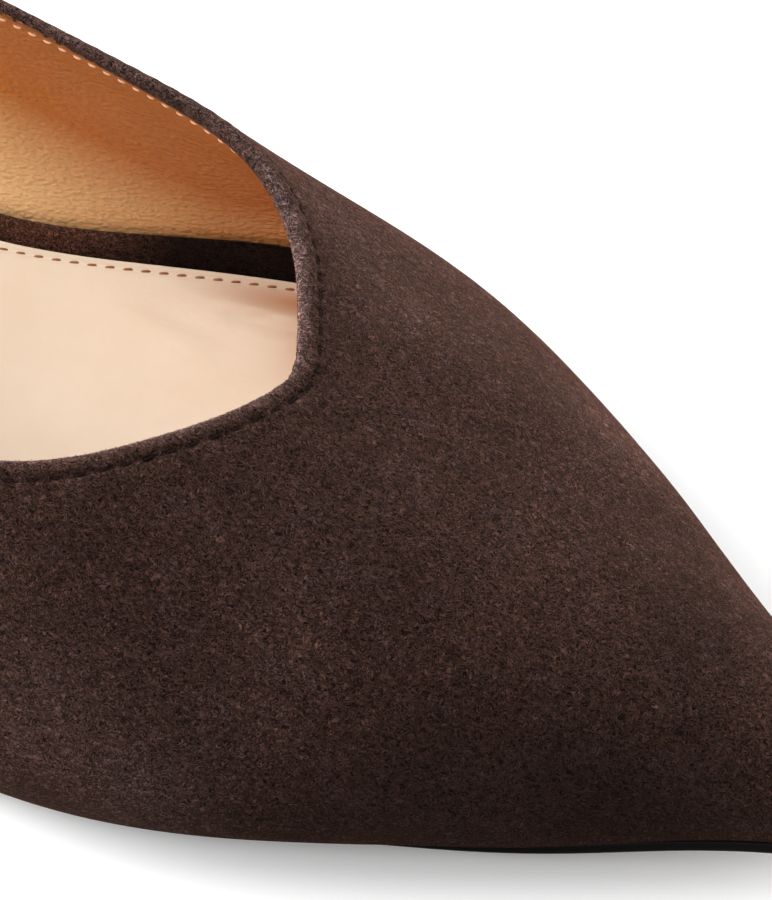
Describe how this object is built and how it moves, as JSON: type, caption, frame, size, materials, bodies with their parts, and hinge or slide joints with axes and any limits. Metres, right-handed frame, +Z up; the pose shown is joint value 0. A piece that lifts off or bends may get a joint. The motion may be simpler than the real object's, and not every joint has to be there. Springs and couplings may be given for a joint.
{
  "type": "ballet flat",
  "caption": "Pointed-toe ballet flat for the right foot, brown suede upper with a V throat, tan lining, thin black-edged sole and low heel.",
  "frame": {"origin": "on the floor, under the middle of the heel's flat underside", "axes": "+X from the heel to the toe, +Y towards the big toe's side, +Z up"},
  "size_m": [0.2621, 0.0884, 0.0614],
  "materials": {
    "suede": "dark brown brushed suede, matt, short nap",
    "band_suede": "darker brown suede, matt",
    "sock": "pale beige leather, satin, smooth",
    "sole_leather": "black edge dressing, satin, over tan leather",
    "heel_stack": "black, satin",
    "lining": "tan leather lining, fine pebble grain, satin",
    "thread_tan": "tan sewing thread",
    "thread_brown": "dark brown sewing thread"
  },
  "bodies": {
    "root": {"upper": "suede", "foot_band": "band_suede", "insole": "sock", "outsole": "sole_leather", "heel": "heel_stack"}
  },
  "joints": []
}
